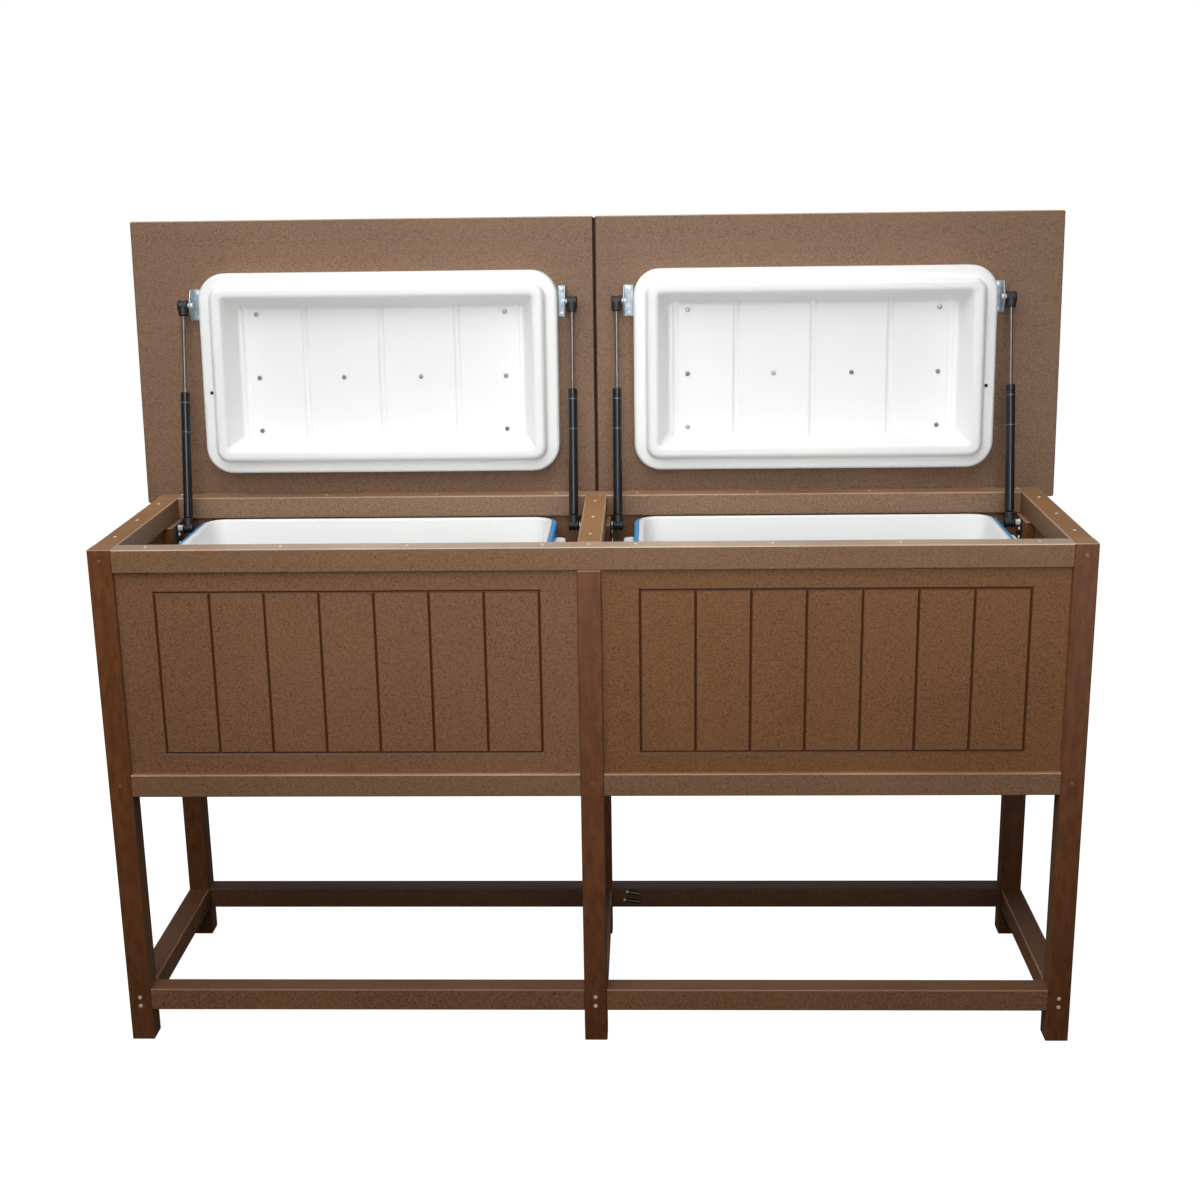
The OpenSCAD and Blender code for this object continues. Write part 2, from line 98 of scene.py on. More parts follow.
def mixValue(tree, factor, first, second):
    return addNode(tree, "ShaderNodeMix", {"Factor": factor, "A": first, "B": second}, data_type="FLOAT").outputs[0]


def blend(tree, factor, first, second):
    # two colours, each a value or a socket
    mix = addNode(tree, "ShaderNodeMix", {"Factor": factor}, data_type="RGBA")
    for socket, value in ((mix.inputs[6], first), (mix.inputs[7], second)):
        if isinstance(value, bpy.types.NodeSocket):
            tree.links.new(value, socket)
        else:
            socket.default_value = value
    return mix.outputs[2]


def spread(tree, value, low, high, outLow=0.0, outHigh=1.0):
    return addNode(tree, "ShaderNodeMapRange", {"Value": value, "From Min": low, "From Max": high,
                                                "To Min": outLow, "To Max": outHigh}).outputs[0]


# shared effects
effects = {"pebbleRoughness": 0.6, "gritFiner": 2.7, "gritHeight": 0.3, "foldHeight": 2.2, "speckle": (0.42, 0.78),
           "sawLines": 900.0, "sawPatches": 120.0, "clouds": (0.3, 0.7)}


def makeHide():
    # the embossed hide of moulded sheet: pebbles drawn out into short waves
    group, given, result = newGroup("embossedHide",
                                    [("Vector", "NodeSocketVector", None), ("Pebble", "NodeSocketFloat", 0.004)],
                                    [("Height", "NodeSocketFloat"), ("Speckle", "NodeSocketFloat")])
    perMetre = mathNode(group, "DIVIDE", 1.0, given["Pebble"])
    pebbles = noiseNode(group, given["Vector"], perMetre, 1.0, effects["pebbleRoughness"])
    grit = noiseNode(group, given["Vector"], mathNode(group, "MULTIPLY", perMetre, effects["gritFiner"]))
    folds = mathNode(group, "ABSOLUTE", mathNode(group, "SUBTRACT", pebbles, 0.5))
    height = mathNode(group, "SUBTRACT", mathNode(group, "MULTIPLY", grit, effects["gritHeight"]),
                      mathNode(group, "MULTIPLY", folds, effects["foldHeight"]))
    group.links.new(height, result["Height"])
    speckle = spread(group, mathNode(group, "ADD", height, pebbles), *effects["speckle"])
    group.links.new(speckle, result["Speckle"])
    return group


def makeSaw():
    # fine saw lines drawn out along one direction
    group, given, result = newGroup("sawnLines",
                                    [("Vector", "NodeSocketVector", None)],
                                    [("Height", "NodeSocketFloat"), ("Streak", "NodeSocketFloat")])
    group.links.new(noiseNode(group, given["Vector"], effects["sawLines"]), result["Height"])
    patches = noiseNode(group, given["Vector"], effects["sawPatches"], 1.0)
    group.links.new(spread(group, patches, *effects["clouds"]), result["Streak"])
    return group


def makeDrift():
    # slow changes of tone over a whole piece
    group, given, result = newGroup("slowDrift",
                                    [("Vector", "NodeSocketVector", None), ("Size", "NodeSocketFloat", 0.2)],
                                    [("Mask", "NodeSocketFloat")])
    cloud = noiseNode(group, given["Vector"], mathNode(group, "DIVIDE", 1.0, given["Size"]), 1.0)
    group.links.new(spread(group, cloud, *effects["clouds"]), result["Mask"])
    return group


hideGroup = makeHide()
sawGroup = makeSaw()
driftGroup = makeDrift()


def newMaterial(name):
    material = bpy.data.materials.new(name)
    material.use_nodes = True
    return material, material.node_tree, material.node_tree.nodes["Principled BSDF"]


def placed(tree, scale=(1, 1, 1), turn=(0, 0, 0)):
    coords = addNode(tree, "ShaderNodeTexCoord").outputs["Object"]
    return addNode(tree, "ShaderNodeMapping", {"Vector": coords, "Scale": scale, "Rotation": turn}).outputs[0]


def shaderGroup(tree, group, values):
    return addNode(tree, "ShaderNodeGroup", values, node_tree=group).outputs


def addBump(tree, shader, strength, distance, height):
    bump = addNode(tree, "ShaderNodeBump", {"Strength": strength, "Distance": distance, "Height": height})
    tree.links.new(bump.outputs[0], shader.inputs["Normal"])


# materials
# in these looks the dark hide tone is painted shade in the hide's hollows, the pale edge tones are painted highlights
# for the sheen of light from above on upward eased edges and level tops, and the groove tone is the sawn core painted
# darker as shade
sheetLook = {"hide": tone(129, 87, 56), "hidePale": tone(160, 119, 86), "hideDark": tone(98, 60, 35),
             "sawn": tone(104, 64, 34), "sawnPale": tone(124, 82, 50), "rubbed": tone(186, 146, 106),
             "edge": tone(206, 172, 144), "groove": tone(90, 55, 28),
             "pebble": 2.4 * mm, "bump": 0.35, "grain": 0.25}
warmLook = {**sheetLook, "hide": tone(125, 79, 40), "hidePale": tone(155, 108, 62), "hideDark": tone(95, 54, 25)}
railLook = {**sheetLook, "hide": tone(133, 96, 65), "hidePale": tone(162, 124, 92), "hideDark": tone(104, 70, 44)}
# the lids' hide is paler and greyer than the same sheet on the panels, a painted sheen; their sawn edges are darker,
# painted shade along the edges and the seam
lidLook = {**sheetLook, "hide": tone(125, 92, 66), "hidePale": tone(156, 123, 96), "hideDark": tone(97, 67, 45),
           "sawn": tone(84, 52, 31), "sawnPale": tone(100, 64, 40), "groove": tone(58, 35, 22)}
# the front rail's painted highlights are paler
frontLook = {**railLook, "rubbed": tone(214, 188, 165), "edge": tone(232, 206, 182)}
# the rear rail is a paler, lit copy of the rail look: painted light thrown back on it from the white liners and coolers
rearLitLook = {**railLook, "hide": tone(143, 110, 83), "hidePale": tone(172, 139, 112), "hideDark": tone(114, 84, 61),
            "rubbed": tone(196, 158, 126)}
# the cross rails' painted highlight is warmer
crossLook = {**railLook, "rubbed": tone(182, 138, 92)}
legLook = {**sheetLook, "sawn": tone(100, 52, 19), "sawnPale": tone(128, 75, 35), "edge": tone(236, 212, 194),
           "grain": 0.45}
stretcherLook = {**sheetLook, "hide": tone(142, 94, 60), "hidePale": tone(184, 134, 96), "hideDark": tone(94, 54, 30),
                 "sawn": tone(92, 52, 28), "sawnPale": tone(110, 67, 39), "rubbed": tone(124, 84, 56),
                 "edge": tone(176, 128, 94), "grain": 0.5}
# a darker copy of the stretcher look for the rear stretchers: painted shade under the chest
rearStretcherShadeLook = {**stretcherLook, "hide": tone(110, 70, 46), "hidePale": tone(134, 92, 66),
                     "hideDark": tone(84, 50, 31), "sawn": tone(62, 36, 20), "sawnPale": tone(78, 46, 27),
                     "rubbed": tone(84, 54, 36), "edge": tone(110, 74, 52)}
# the sheen range makes the painted highlight patchy, and the edge range gives fully lit eased edges the paler highlight
# tone
plasticMix = {"hollows": (-0.4, 0.2), "speckle": 0.8, "drift": 0.15, "driftSize": 0.25, "wear": (0.45, 0.9),
              "edge": (0.88, 1.0), "roughness": (0.5, 0.42), "sawRelief": 0.25, "relief": 0.6 * mm, "gloss": 0.45}
mouldedMix = {"drift": 0.5, "driftSize": 0.12, "roughness": 0.05, "relief": 0.3 * mm}
metalMix = {"driftSize": 0.012, "smoother": 0.06, "rougher": 0.08, "relief": 0.1 * mm}


def makePlastic(name, look, stretch=(1, 1, 1), turn=(0, 0, 0), lines=(1, 1, 1)):
    # moulded faces are embossed and a little shiny; sawn faces, a painted sheen and painted shade are marked on the
    # faces. The painted sheen is a highlight on upward eased edges and level tops, full on the eased edges, and the
    # painted shade darkens grooves and the lids' seam
    mix = plasticMix
    material, tree, shader = newMaterial(name)
    hide = shaderGroup(tree, hideGroup, {"Vector": placed(tree, stretch, turn), "Pebble": look["pebble"]})
    saw = shaderGroup(tree, sawGroup, {"Vector": placed(tree, lines)})
    drift = shaderGroup(tree, driftGroup, {"Vector": placed(tree), "Size": mix["driftSize"]})
    masks = {key: addNode(tree, "ShaderNodeAttribute", attribute_name=key, attribute_type="GEOMETRY").outputs["Fac"]
             for key in ("sawn", "rubbed", "groove")}
    speckle = mathNode(tree, "MULTIPLY", hide["Speckle"], mix["speckle"])
    # the hide's hollows take the dark tone: painted shade in the emboss
    moulded = blend(tree, spread(tree, hide["Height"], *mix["hollows"]), look["hideDark"], look["hide"])
    moulded = blend(tree, speckle, moulded, look["hidePale"])
    moulded = blend(tree, mathNode(tree, "MULTIPLY", drift["Mask"], mix["drift"]), moulded, look["hidePale"])
    streaks = mathNode(tree, "MULTIPLY", saw["Streak"], mix["speckle"])
    sawn = blend(tree, streaks, look["sawn"], look["sawnPale"])
    sawn = blend(tree, mathNode(tree, "MULTIPLY", hide["Speckle"], look["grain"]), sawn, look["hide"])
    colour = blend(tree, masks["sawn"], moulded, sawn)
    # grooves and the lids' seam are painted dark as shade
    colour = blend(tree, masks["groove"], colour, look["groove"])
    # painted highlight: upward eased edges and level tops lightened as sheen, patchy with the drift
    sheenAmount = mathNode(tree, "MULTIPLY", masks["rubbed"], spread(tree, drift["Mask"], 0.0, 1.0, *mix["wear"]))
    sheenTone = blend(tree, spread(tree, masks["rubbed"], *mix["edge"]), look["rubbed"], look["edge"])
    colour = blend(tree, sheenAmount, colour, sheenTone)
    tree.links.new(colour, shader.inputs["Base Color"])
    tree.links.new(mixValue(tree, masks["sawn"], *mix["roughness"]), shader.inputs["Roughness"])
    sawRelief = mathNode(tree, "MULTIPLY", saw["Height"], mix["sawRelief"])
    addBump(tree, shader, look["bump"], mix["relief"], mixValue(tree, masks["sawn"], hide["Height"], sawRelief))
    shader.inputs["Specular IOR Level"].default_value = mix["gloss"]
    return material


def makeMoulded(name, colour, shade, roughness, bump=0.06, pebble=1.2 * mm):
    # smooth injection or rotation moulded plastic with a faint orange peel and a drift of tone
    mix = mouldedMix
    material, tree, shader = newMaterial(name)
    hide = shaderGroup(tree, hideGroup, {"Vector": placed(tree), "Pebble": pebble})
    drift = shaderGroup(tree, driftGroup, {"Vector": placed(tree), "Size": mix["driftSize"]})
    colour = blend(tree, mathNode(tree, "MULTIPLY", drift["Mask"], mix["drift"]), colour, shade)
    tree.links.new(colour, shader.inputs["Base Color"])
    rough = spread(tree, drift["Mask"], 0, 1, roughness - mix["roughness"], roughness + mix["roughness"])
    tree.links.new(rough, shader.inputs["Roughness"])
    addBump(tree, shader, bump, mix["relief"], hide["Height"])
    return material


def makeMetal(name, colour, shade, roughness, scale=(1, 1, 1), metallic=1.0, bump=0.05):
    # metal or paint with fine drawn lines and cloudy plating
    mix = metalMix
    material, tree, shader = newMaterial(name)
    saw = shaderGroup(tree, sawGroup, {"Vector": placed(tree, scale)})
    drift = shaderGroup(tree, driftGroup, {"Vector": placed(tree), "Size": mix["driftSize"]})
    tree.links.new(blend(tree, drift["Mask"], colour, shade), shader.inputs["Base Color"])
    rough = spread(tree, saw["Streak"], 0, 1, roughness - mix["smoother"], roughness + mix["rougher"])
    tree.links.new(rough, shader.inputs["Roughness"])
    addBump(tree, shader, bump, mix["relief"], saw["Height"])
    shader.inputs["Metallic"].default_value = metallic
    return material


acrossX = {"stretch": (0.6, 1, 1), "lines": (0.05, 1, 1)}  # pebbles and saw lines drawn out along X
acrossY = {"stretch": (1, 0.6, 1), "lines": (1, 0.05, 1)}
drawn = (1, 0.03, 0.03)
panelPlastic = makePlastic("panelPlastic", sheetLook, stretch=(0.55, 1, 1))
warmPlastic = makePlastic("warmPanelPlastic", warmLook, stretch=(0.55, 1, 1))
lidPlastic = makePlastic("lidPlastic", lidLook, stretch=(0.6, 1, 1), turn=(0, math.radians(32), 0))
longPlastic = makePlastic("railPlastic", railLook, **acrossX)
frontPlastic = makePlastic("frontRailPlastic", frontLook, **acrossX)
rearLitPlastic = makePlastic("rearRailPlastic", rearLitLook, **acrossX)
crossPlastic = makePlastic("crossRailPlastic", crossLook, **acrossY)
stretcherPlastic = makePlastic("stretcherPlastic", stretcherLook, **acrossX)
stretcherShade = makePlastic("stretcherShade", rearStretcherShadeLook, **acrossX)
stretcherCross = makePlastic("stretcherCross", stretcherLook, **acrossY)
postPlastic = makePlastic("postPlastic", legLook, stretch=(1, 1, 0.6), lines=(1, 1, 0.3))
linerWhite = makeMoulded("linerWhite", tone(249, 250, 249), tone(245, 247, 247), 0.36)
coolerBlue = makeMoulded("coolerBlue", tone(64, 166, 228), tone(52, 150, 214), 0.32)
tubeBlack = makeMetal("tubeBlack", tone(24, 26, 32), tone(28, 30, 36), 0.3, scale=drawn, metallic=0.0, bump=0)
rodDark = makeMetal("rodDark", tone(136, 126, 120), tone(120, 110, 104), 0.34, scale=drawn, metallic=0.8, bump=0)
socketBlack = makeMoulded("socketBlack", tone(30, 31, 34), tone(38, 40, 43), 0.45)
zincBright = makeMetal("zincBright", tone(188, 199, 205), tone(142, 158, 168), 0.34, scale=(1, 0.2, 0.2), metallic=0.45)
# near white with little metal: painted highlight standing in for the glints on zinc studs, bosses and small screws
studBright = makeMetal("studBright", tone(240, 244, 246), tone(222, 228, 232), 0.3, metallic=0.3)
screwSteel = makeMetal("screwSteel", tone(172, 166, 160), tone(112, 106, 100), 0.35)
screwBrown = makeMetal("screwBrown", tone(158, 116, 84), tone(130, 90, 60), 0.3, metallic=0.2)
# a near-white copy of the brown screws, for those on the tops, low on the legs and in one pocket: painted highlight
screwTan = makeMetal("screwTan", tone(250, 232, 208), tone(236, 212, 184), 0.35, metallic=0.0)
hingePaint = makeMetal("hingePaint", tone(166, 130, 102), tone(146, 112, 86), 0.4, metallic=0.2)
bandSteel = makeMetal("bandSteel", tone(128, 138, 148), tone(100, 110, 120), 0.3, metallic=0.3)
# near black: painted shade on the feet's zinc plates, which sit in the dark bay
footSteel = makeMetal("footSteel", tone(44, 45, 45), tone(32, 33, 34), 0.4, metallic=0.4)
screwShadow = makeMoulded("screwShadow", tone(30, 22, 17), tone(24, 18, 14), 0.8)
print("materials made:", len(bpy.data.materials))


# mesh helpers
def placeObject(name, data):
    made = bpy.data.objects.new(name, data)
    bpy.context.scene.collection.objects.link(made)
    return made


def toMesh(bm, name):
    mesh = bpy.data.meshes.new(name)
    bm.to_mesh(mesh)
    bm.free()
    return mesh


def bevel(bm, parts, width, segments, affect="EDGES"):
    return bmesh.ops.bevel(bm, geom=parts, offset=width, offset_type="OFFSET", segments=segments, profile=0.5,
                           affect=affect, clamp_overlap=True, material=-1)["faces"]


def finishPiece(bm, name, material, body, sharp=32):
    # closes the mesh into an object at the origin, shaded smooth up to the sharp angle
    bmesh.ops.recalc_face_normals(bm, faces=bm.faces)
    for face in bm.faces:
        face.smooth = True
    for edge in bm.edges:
        edge.smooth = not (len(edge.link_faces) == 2 and edge.calc_face_angle(0.0) > math.radians(sharp))
    piece = placeObject(name, toMesh(bm, name))
    piece.data.materials.append(material)
    weights = piece.modifiers.new("evenShading", "WEIGHTED_NORMAL")
    weights.keep_sharp = True
    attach(piece, body)
    return piece


def bodyOf(nodeName):
    groups = frame["record"]["behaviour"]["bodies"]
    return next(body for body, members in groups.items() if nodeName in members)


def mergedCopy(nodeName):
    # a node's mesh with flat faces made whole and a layer for each of the plastic's masks
    bm = bmesh.new()
    bm.from_mesh(nodes[nodeName].data)
    for key in ("sawn", "rubbed", "groove"):
        bm.faces.layers.float.new(key)
    bmesh.ops.remove_doubles(bm, verts=bm.verts, dist=1e-6)
    bmesh.ops.dissolve_limit(bm, angle_limit=math.radians(0.5), verts=bm.verts, edges=bm.edges)
    return bm


def roundEdges(bm, width, segments=2, angle=35):
    edges = [edge for edge in bm.edges
             if len(edge.link_faces) == 2 and edge.calc_face_angle(0.0) > math.radians(angle)]
    return bevel(bm, edges, width, segments)


marks = {"moulded": 0.8, "flat": 0.9, "slantFrom": 0.2, "slantTo": 0.97, "upward": 0.25, "level": 0.97,
         "topWear": 0.85, "lowWear": 0.8, "atSeam": 1.5}


def markFaces(bm, eased, width, mouldedAxis, grooves, seam):
    # tells moulded faces from sawn ones, and marks a painted sheen on upward eased edges and level tops as highlights,
    # and painted shade on grooves and the lids' seam
    sawn, rubbed, groove = (bm.faces.layers.float[key] for key in ("sawn", "rubbed", "groove"))
    lowest = min(vert.co.z for vert in bm.verts)
    for face in bm.faces:
        middle = face.calc_center_median()
        along = abs(face.normal.dot(mouldedAxis))
        turned = max(abs(value) for value in face.normal) < marks["flat"]
        slanted = turned and marks["slantFrom"] < along < marks["slantTo"]
        face[sawn] = 0.0 if along > marks["moulded"] else 1.0
        # upward eased edges and chamfers get the full painted sheen, a highlight
        if face.normal.z > marks["upward"] and (face in eased or (slanted and not grooves)):
            face[rubbed] = 1.0
        # level tops get a little less painted sheen, as light from above
        elif face.normal.z > marks["level"] and mouldedAxis.z < 0.5:
            face[rubbed] = marks["topWear"]
        # grooves and the faces at the lids' seam get painted shade
        if grooves and slanted:
            face[groove] = 1.0
        if seam and abs(middle.x) < seam + frameLook["seamEasing"]:
            face[groove] = 1.0
        # the lids' lowest eased edges get a painted sheen, a highlight
        elif seam and face in eased and middle.z < lowest + 2 * width:
            face[rubbed] = marks["lowWear"]


def dress(nodeName, material, width, mouldedAxis=None, segments=2, grooves=False, seam=0.0):
    # a copy of a CAD piece with its edges eased and its faces marked; seam is how far a side face beside the middle of
    # the chest stands off it, and the edges there are eased wider and painted dark as shade
    bm = mergedCopy(nodeName)
    for vert in bm.verts:
        if seam and abs(vert.co.x) < 3 * seam:
            vert.co.x = math.copysign(seam, vert.co.x)
    eased = set(roundEdges(bm, width, segments)) if width else set()
    atSeam = [vert for vert in bm.verts if seam and abs(vert.co.x) < seam + width * marks["atSeam"]]
    reach = max((abs(vert.co.x) - seam for vert in atSeam), default=0.0)
    for vert in atSeam:
        vert.co.x = math.copysign(seam + (abs(vert.co.x) - seam) * frameLook["seamEasing"] / reach, vert.co.x)
    bm.normal_update()
    if mouldedAxis is not None:
        markFaces(bm, eased, width, mouldedAxis, grooves, seam)
    piece = finishPiece(bm, "dressed_" + nodeName, material, bodyOf(nodeName))
    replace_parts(piece, nodeName)


# frame: lumber, panels, boards
axisX, axisY, axisZ = Vector((1, 0, 0)), Vector((0, 1, 0)), Vector((0, 0, 1))
frameLook = {"easing": 0.7 * mm, "boardEasing": 0.6 * mm, "blockEasing": 0.8 * mm,
             "lidEasing": 1.9 * mm, "seam": 0.25 * mm, "seamEasing": 3.8 * mm}


def lumberMaterial(nodeName, crosswise):
    if nodeName.startswith("stretcher"):
        return stretcherCross if crosswise else stretcherShade if "rear" in nodeName else stretcherPlastic
    return {"top_rail_front": frontPlastic, "top_rail_rear": rearLitPlastic}.get(
        nodeName, crossPlastic if crosswise else longPlastic)


for nodeName in list(nodes):
    if nodeName.startswith("leg_"):
        dress(nodeName, postPlastic, frameLook["easing"], axisX)
    elif nodeName.startswith(("top_rail", "lower_rail", "stretcher")):
        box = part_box(nodeName)
        crosswise = box[1].y - box[0].y > box[1].x - box[0].x
        dress(nodeName, lumberMaterial(nodeName, crosswise), frameLook["easing"], axisX if crosswise else axisY)
    elif nodeName in ("panel_left", "panel_right"):
        dress(nodeName, crossPlastic, 0, axisX, grooves=True)
    elif nodeName.startswith("panel_"):
        sheet = warmPlastic if nodeName == "panel_front_right" else panelPlastic
        dress(nodeName, sheet, 0, axisY, grooves=True)
    elif nodeName.startswith("floor_board"):
        dress(nodeName, panelPlastic, frameLook["boardEasing"], axisZ)
dress("strut_blocks", postPlastic, frameLook["blockEasing"], axisX)
print("frame dressed")


# lids
hinge = Vector(joints["lid_hinge_left"]["pos_m"])
lidOpen = joints["lid_hinge_left"]["range_deg"][1]
lidPlane = {"tail": 14.6 * mm, "off": 4.4 * mm}
openTurn = Matrix.Rotation(math.radians(-lidOpen), 4, "X")


def onLid(across, reach=0.0, off=0.0):
    # a place on a lid: across the chest, reach from its rear edge, off its underside
    return (Matrix.Translation(hinge) @ openTurn @ Matrix.Translation((across, lidPlane["tail"], lidPlane["off"]))
            @ Matrix.Rotation(math.pi, 4, "X") @ Matrix.Translation((0, reach, off)))


lidFace = (onLid(0).to_3x3() @ axisZ).normalized()
for side in sides:
    dress("lid_" + side, lidPlastic, frameLook["lidEasing"], lidFace, segments=3, seam=frameLook["seam"])


def loft(rings, rolls=(), segments=10):
    # a closed body through round-cornered loops of (width, depth, corner, height); rolls lists the
    # loops to round over as (loop, radius, steps)
    bm = bmesh.new()
    tag = bm.edges.layers.int.new("loop")
    width, depth, corner, height = rings[0]
    made = bmesh.ops.create_grid(bm, x_segments=1, y_segments=1, size=0.5)["verts"]
    bmesh.ops.scale(bm, vec=(width, depth, 1), verts=made)
    bmesh.ops.translate(bm, vec=(0, 0, height), verts=made)
    bevel(bm, made, corner, segments, "VERTICES")
    edges = list(bm.edges)
    for count, (newWidth, newDepth, newCorner, newHeight) in enumerate(rings[1:], 2):
        made = bmesh.ops.extrude_edge_only(bm, edges=edges)["geom"]
        edges = [part for part in made if isinstance(part, bmesh.types.BMEdge)]
        for vert in (part for part in made if isinstance(part, bmesh.types.BMVert)):
            right, up = math.copysign(1, vert.co.x), math.copysign(1, vert.co.y)
            middle = Vector(((width / 2 - corner) * right, (depth / 2 - corner) * up, height))
            newMiddle = Vector(((newWidth / 2 - newCorner) * right, (newDepth / 2 - newCorner) * up, newHeight))
            vert.co = newMiddle + (vert.co - middle) / corner * newCorner
        for edge in edges:
            edge[tag] = count
        width, depth, corner, height = newWidth, newDepth, newCorner, newHeight
    bmesh.ops.contextual_create(bm, geom=edges)
    bmesh.ops.recalc_face_normals(bm, faces=bm.faces)
    for count, radius, steps in rolls:
        bevel(bm, [edge for edge in bm.edges if edge[tag] == count + 1 and len(edge.link_faces) == 2], radius, steps)
    bm.normal_update()
    return bm


# the moulded liner: sizes across, up the lid and off the lid
linerSize = {"centre": {"left": 380.6 * mm, "right": 384.6 * mm}, "reach": 58 * mm, "width": 632 * mm,
             "depth": 352 * mm, "corner": 47 * mm, "lift": 0.05 * mm, "flange": 36.5 * mm, "step": 23 * mm,
             "plug": 19 * mm, "plugCorner": 22 * mm, "plugFoot": 2 * mm, "rim": 19.5 * mm, "mouthCorner": 7 * mm,
             "run": 19 * mm, "floor": 3 * mm, "floorCorner": 5 * mm,
             "rolls": ((1, 6 * mm, 5), (2, 5 * mm, 5), (3, 8 * mm, 6), (4, 5 * mm, 4), (5, 4 * mm, 4)),
             "trough": 8 * mm, "troughUp": 5.4 * mm, "troughOver": 7 * mm, "troughs": (-242, -135.5, 0, 135.5, 242)}


def troughCutter(size):
    # long round-ended rods that press the troughs into the liner's floor
    bm = bmesh.new()
    half = size["depth"] / 2 - size["step"] - size["rim"] - size["run"] - size["trough"] + size["troughOver"]
    for middle in size["troughs"]:
        made = bmesh.ops.create_uvsphere(bm, u_segments=32, v_segments=16, radius=size["trough"])["verts"]
        bmesh.ops.rotate(bm, verts=made, cent=(0, 0, 0), matrix=Matrix.Rotation(math.pi / 2, 3, "X"))
        for vert in made:
            vert.co.y += math.copysign(half, vert.co.y) if abs(vert.co.y) > 1e-6 else 0.0
        bmesh.ops.translate(bm, vec=(middle * mm, 0, size["floor"] + size["troughUp"]), verts=made)
    return bm


def carved(bm, cutter):
    # one bmesh less another
    pieces = []
    for source in (bm, cutter):
        bmesh.ops.recalc_face_normals(source, faces=source.faces)
        pieces.append(placeObject("carving", toMesh(source, "carving")))
    cut = pieces[0].modifiers.new("cut", "BOOLEAN")
    cut.operation, cut.solver, cut.object = "DIFFERENCE", "EXACT", pieces[1]
    result = bmesh.new()
    result.from_object(pieces[0], bpy.context.evaluated_depsgraph_get())
    for piece in pieces:
        mesh = piece.data
        bpy.data.objects.remove(piece)
        bpy.data.meshes.remove(mesh)
    return result


def makeLiner(side):
    s = linerSize
    top = s["flange"] + s["plug"]
    plugW, plugD = s["width"] - 2 * s["step"], s["depth"] - 2 * s["step"]
    openW, openD = plugW - 2 * s["rim"], plugD - 2 * s["rim"]
    floorW, floorD = openW - 2 * s["run"], openD - 2 * s["run"]
    bm = loft([(s["width"], s["depth"], s["corner"], s["lift"]),
               (s["width"], s["depth"], s["corner"], s["flange"]),
               (plugW + s["plugFoot"], plugD + s["plugFoot"], s["plugCorner"] + s["plugFoot"] / 2, s["flange"]),
               (plugW, plugD, s["plugCorner"], top),
               (openW, openD, s["mouthCorner"], top),
               (floorW, floorD, s["floorCorner"], s["floor"])], s["rolls"])
    bm = carved(bm, troughCutter(s))
    place = onLid(sides[side] * s["centre"][side], s["reach"] + s["depth"] / 2)
    bmesh.ops.transform(bm, matrix=place, verts=bm.verts)
    piece = finishPiece(bm, "lidLinerMoulding_" + side, linerWhite, "lid_" + side, sharp=35)
    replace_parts(piece, "lid_liner_" + side)


for side in sides:
    makeLiner(side)
print("lids and liners made")


# screws, all from one pan head with a socket
headShape = {"sides": 20, "top": 0.86, "round": 0.35, "rim": 0.45, "socketWall": 0.06, "sunk": 0.5}


def panHead(bm, place, radius, height):
    shape = headShape

    def topCap(verts):
        caps = [face for face in bm.faces
                if len(face.verts) == shape["sides"] and all(vert in verts for vert in face.verts)]
        return max(caps, key=lambda face: face.calc_center_median().z)

    made = bmesh.ops.create_cone(bm, cap_ends=True, segments=shape["sides"], radius1=radius,
                                 radius2=radius * shape["top"], depth=height)["verts"]
    bmesh.ops.translate(bm, vec=(0, 0, height / 2), verts=made)
    rounded = bevel(bm, list(topCap(made).edges), height * shape["round"], 3)
    verts = set(vert for face in rounded for vert in face.verts) | set(vert for vert in made if vert.is_valid)
    cap = topCap(verts)
    for thickness, depth in ((radius * shape["rim"], 0), (radius * shape["socketWall"], -height * shape["sunk"])):
        for face in bmesh.ops.inset_region(bm, faces=[cap], thickness=thickness, depth=depth)["faces"] + [cap]:
            verts.update(face.verts)
    bmesh.ops.transform(bm, matrix=place, verts=list(verts))


def facing(point, direction):
    # a placement whose +Z points along the direction
    return Matrix.Translation(point) @ Vector(direction).to_track_quat("Z", "Y").to_matrix().to_4x4()


def screwSet(name, places, body, radius, height, material=screwSteel):
    bm = bmesh.new()
    for place in places:
        panHead(bm, place, radius, height)
    return finishPiece(bm, name, material, body, sharp=50)


linerScrews = {"corner": (221, 103.5), "middle": 69, "drop": 9, "radius": 4.2 * mm, "height": 2.2 * mm}
ventSize = {"across": 300 * mm, "down": 32 * mm, "radius": 3.2 * mm, "top": 3 * mm, "depth": 0.6 * mm,
            "proud": 0.1 * mm}


def fitLiner(side):
    # the liner's screws and its vent hole, a dark disc of painted shade
    s, v = linerSize, ventSize
    centre, middle = s["centre"][side], s["reach"] + s["depth"] / 2
    farX, farY = linerScrews["corner"]
    spots = [(x * farX, y * farY) for x in (-1, 1) for y in (-1, 1)]
    spots += [(x * far, -linerScrews["drop"]) for x in (-1, 1) for far in (farX, linerScrews["middle"])]
    places = [onLid(sides[side] * centre + x * mm, middle + y * mm, s["floor"]) for x, y in spots]
    screws = screwSet("linerScrews_" + side, places, "lid_" + side, linerScrews["radius"], linerScrews["height"])
    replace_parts(screws, "liner_screws_" + side)
    vent = bmesh.new()
    bmesh.ops.create_cone(vent, cap_ends=True, segments=20, radius1=v["radius"], radius2=v["top"], depth=v["depth"])
    place = onLid(sides[side] * (centre + v["across"]), middle - v["down"], s["flange"] + v["proud"])
    bmesh.ops.transform(vent, matrix=place, verts=vent.verts)
    finishPiece(vent, "ventHole_" + side, screwShadow, "lid_" + side)


for side in sides:
    fitLiner(side)

